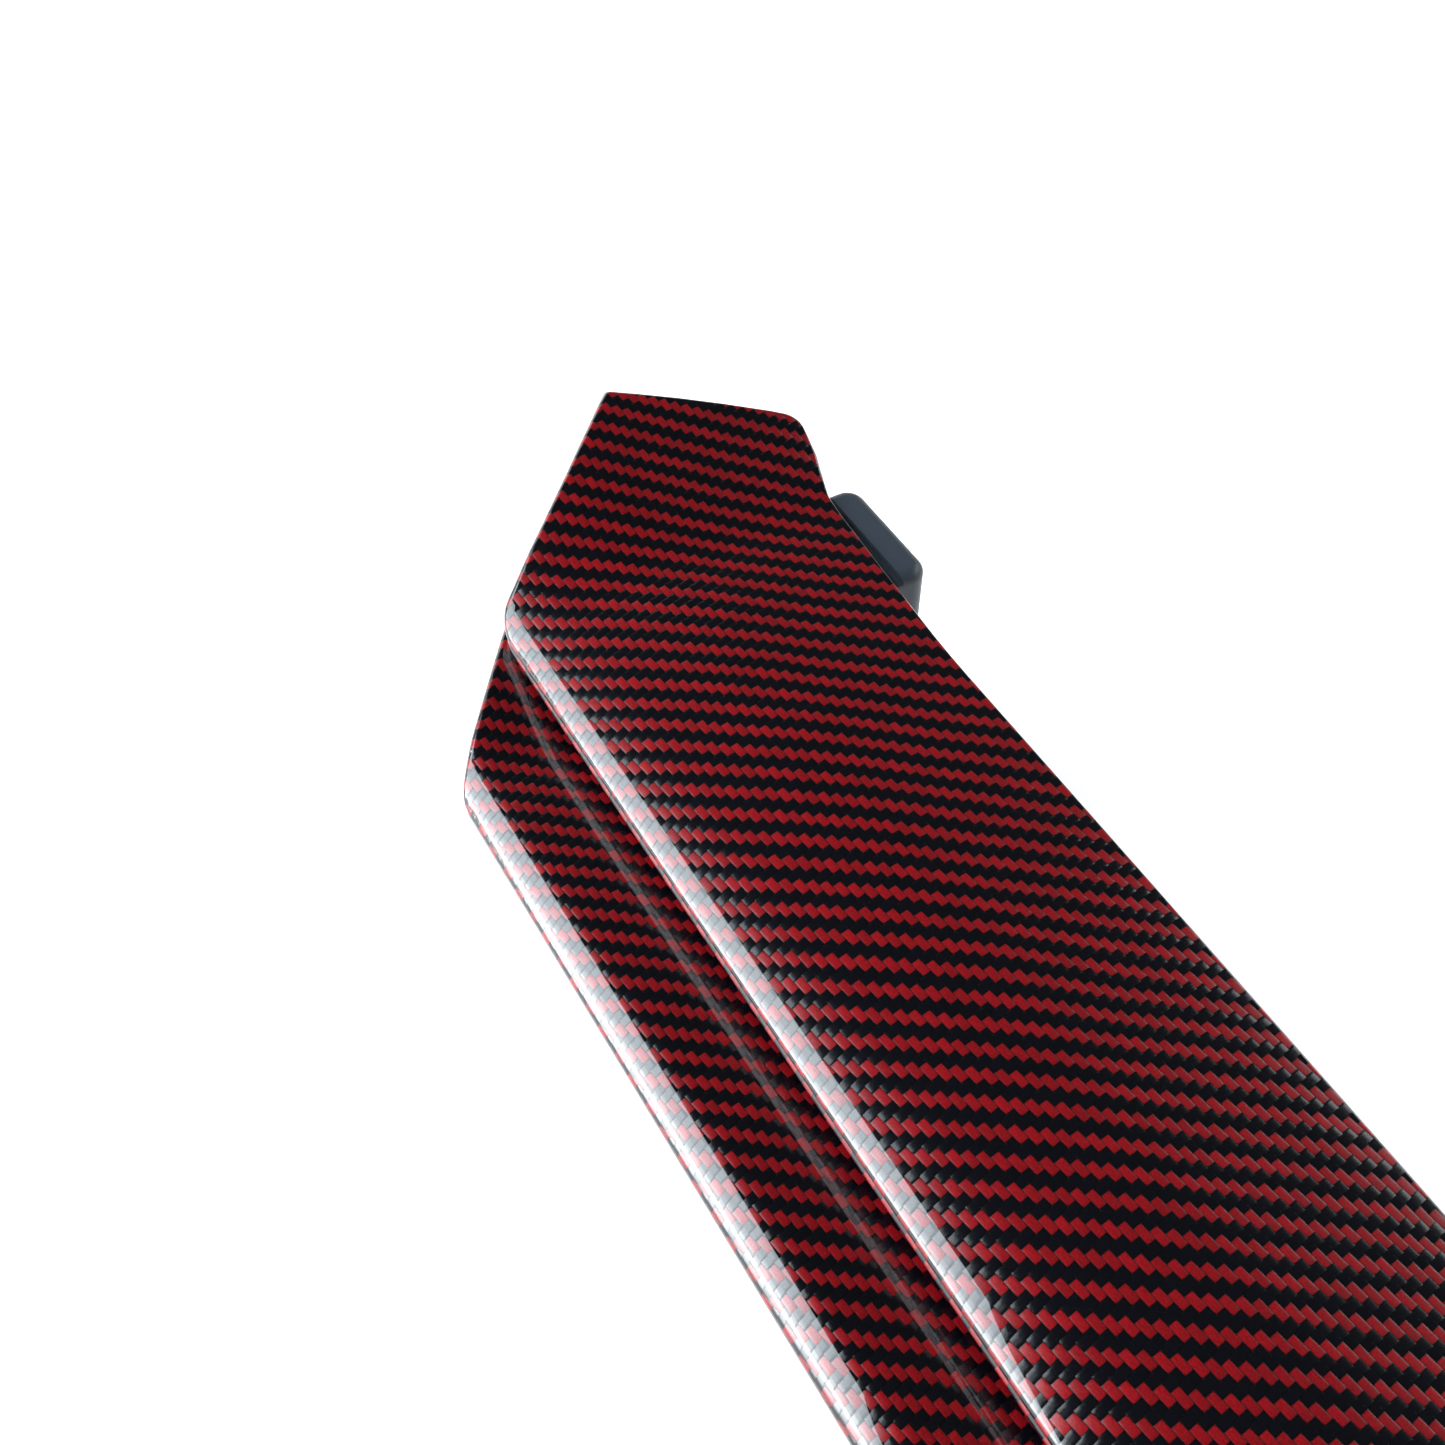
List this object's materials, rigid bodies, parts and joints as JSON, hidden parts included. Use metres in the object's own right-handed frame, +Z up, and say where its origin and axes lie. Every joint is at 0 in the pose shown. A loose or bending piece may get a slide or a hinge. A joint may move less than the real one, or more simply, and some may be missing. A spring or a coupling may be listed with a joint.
{
  "type": "double-deck rear wing",
  "caption": "Racing rear wing with two stacked blades in red and black woven composite, upturned swept tips, and moulded risers that let its angle of attack be set.",
  "frame": {"origin": "centre of the overall footprint, on the mounting face under the base gaskets", "axes": "+X along the span, +Y from the leading edge to the trailing edge, +Z up"},
  "size_m": [0.73, 0.1244, 0.1074],
  "materials": {
    "aramid_carbon": "red aramid and black carbon twill under clear gloss coat",
    "core_foam": "rigid closed-cell foam",
    "tip_resin": "black filled resin",
    "insert_aluminium": "machined",
    "spar_carbon": "pultruded carbon",
    "bracket_aluminium": "black anodised",
    "black_steel": "black oxide",
    "zinc_steel": "zinc plated",
    "bush_acetal": "natural acetal",
    "riser_nylon": "slate-grey moulded nylon, satin",
    "black_rubber": "matt rubber"
  },
  "bodies": {
    "risers": {"riser_left": "riser_nylon", "riser_right": "riser_nylon", "rest_pad_left": "black_rubber", "rest_pad_right": "black_rubber", "base_gasket_left": "black_rubber", "base_gasket_right": "black_rubber", "mounting_sleeves": "zinc_steel", "pivot_bolts": "black_steel", "pivot_washers": "zinc_steel", "pivot_nuts": "black_steel", "lock_bolts": "black_steel", "lock_washers": "zinc_steel", "lock_nuts": "black_steel"},
    "wing": {"upper_blade_top_skin": "aramid_carbon", "upper_blade_bottom_skin": "aramid_carbon", "upper_blade_front_foam": "core_foam", "upper_blade_rear_foam": "core_foam", "upper_tip_filler_left": "tip_resin", "upper_tip_filler_right": "tip_resin", "upper_insert_block_left": "insert_aluminium", "upper_insert_block_right": "insert_aluminium", "upper_blade_box_spar": "spar_carbon", "lower_blade_top_skin": "aramid_carbon", "lower_blade_bottom_skin": "aramid_carbon", "lower_blade_tube_spar": "spar_carbon", "lower_blade_foam": "core_foam", "lower_insert_block_left": "insert_aluminium", "lower_insert_block_right": "insert_aluminium", "bracket_left": "bracket_aluminium", "bracket_right": "bracket_aluminium", "front_bracket_screws": "black_steel", "rear_bracket_screws": "black_steel", "pivot_bush_left": "bush_acetal", "pivot_bush_right": "bush_acetal"}
  },
  "joints": [
    {"name": "wing_tilt", "type": "hinge", "parent": "risers", "child": "wing", "pos_m": [0, -0.015, 0.038], "axis": [1, 0, 0], "range_deg": [0, 12]}
  ]
}
